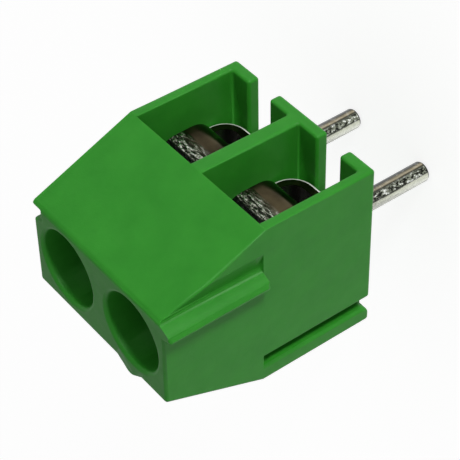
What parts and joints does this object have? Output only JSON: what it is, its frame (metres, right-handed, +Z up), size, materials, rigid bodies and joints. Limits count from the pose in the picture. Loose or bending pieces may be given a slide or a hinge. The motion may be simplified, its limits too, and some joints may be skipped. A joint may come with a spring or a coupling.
{
  "type": "pcb screw terminal",
  "caption": "Two-pole screw terminal block for a printed circuit board, with sloped front, side wire entries below and vertical clamp screws on top.",
  "frame": {"origin": "midway between the two solder pins, on the board plane", "axes": "+X along the row of poles, +Y away from the wire entries, +Z up through the screws, pins towards -Z"},
  "size_m": [0.0078, 0.0066, 0.0119],
  "materials": {
    "housing_plastic": "satin moulded polyamide",
    "tinned_brass": "bright tin plate",
    "tinned_strip": "bright tin plate, slightly uneven",
    "zinc_steel": "zinc plate"
  },
  "bodies": {
    "block": {"housing": "housing_plastic", "clamp_body_1": "tinned_brass", "clamp_body_2": "tinned_brass", "pin_1": "tinned_brass", "pin_2": "tinned_brass"},
    "guard_1": {"wire_guard_1": "tinned_strip"},
    "guard_2": {"wire_guard_2": "tinned_strip"},
    "driver_1": {"screw_1": "zinc_steel"},
    "driver_2": {"screw_2": "zinc_steel"}
  },
  "joints": [
    {"name": "guard_slide_1", "type": "slide", "parent": "block", "child": "guard_1", "axis": [0, 0, 1], "range_m": [-0.0004, 0.001]},
    {"name": "screw_turn_1", "type": "hinge", "parent": "guard_1", "child": "driver_1", "pos_m": [-0.00175, 0, 0.0035], "axis": [0, 0, 1], "range_deg": [-360, 900]},
    {"name": "guard_slide_2", "type": "slide", "parent": "block", "child": "guard_2", "axis": [0, 0, 1], "range_m": [-0.0004, 0.001]},
    {"name": "screw_turn_2", "type": "hinge", "parent": "guard_2", "child": "driver_2", "pos_m": [0.00175, 0, 0.0035], "axis": [0, 0, 1], "range_deg": [-360, 900]}
  ],
  "couplings": [
    {"joint": "screw_turn_1", "follows": "guard_slide_1", "rad_per_m": 15708},
    {"joint": "screw_turn_2", "follows": "guard_slide_2", "rad_per_m": 15708}
  ]
}
